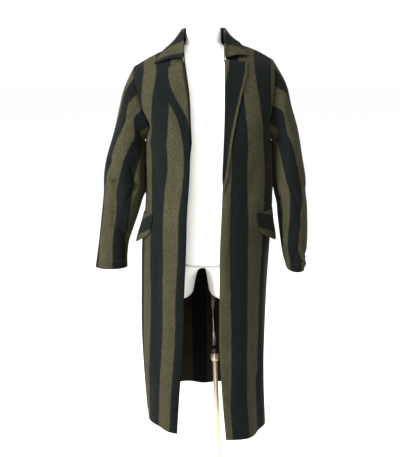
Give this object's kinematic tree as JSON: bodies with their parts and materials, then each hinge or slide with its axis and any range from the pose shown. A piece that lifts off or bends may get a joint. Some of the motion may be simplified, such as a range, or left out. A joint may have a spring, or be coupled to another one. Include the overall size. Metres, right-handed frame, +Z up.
{
  "type": "coat on a dress form",
  "caption": "Long open coat in wide upright stripes with notched lapels and flap pockets, hanging on a smooth limbless dress form with a pole stand.",
  "frame": {"origin": "centre of the flat underside of the round base plate, on the floor", "axes": "+Z is up along the height of the form, the front of the coat faces -Y, and +X is to the right of someone who looks at the front"},
  "size_m": [0.6653, 0.4095, 1.611],
  "materials": {
    "coat_cloth": "matt napped wool in wide brown-olive and navy-charcoal stripes",
    "form_shell": "smooth white",
    "bright_metal": "bright plated rod",
    "black_metal": "black, satin",
    "pale_brass": "pale, brushed",
    "base_metal": "light grey, satin"
  },
  "bodies": {
    "root": {"coat_back": "coat_cloth", "coat_front_left": "coat_cloth", "coat_front_right": "coat_cloth", "sleeve_left": "coat_cloth", "sleeve_right": "coat_cloth", "collar": "coat_cloth", "lapel_left": "coat_cloth", "lapel_right": "coat_cloth", "pocket_flap_left": "coat_cloth", "pocket_flap_right": "coat_cloth", "form_torso": "form_shell", "stand_rod": "bright_metal", "stand_lock": "black_metal", "stand_knob": "pale_brass", "stand_pole": "pale_brass", "stand_base": "base_metal"}
  },
  "joints": []
}
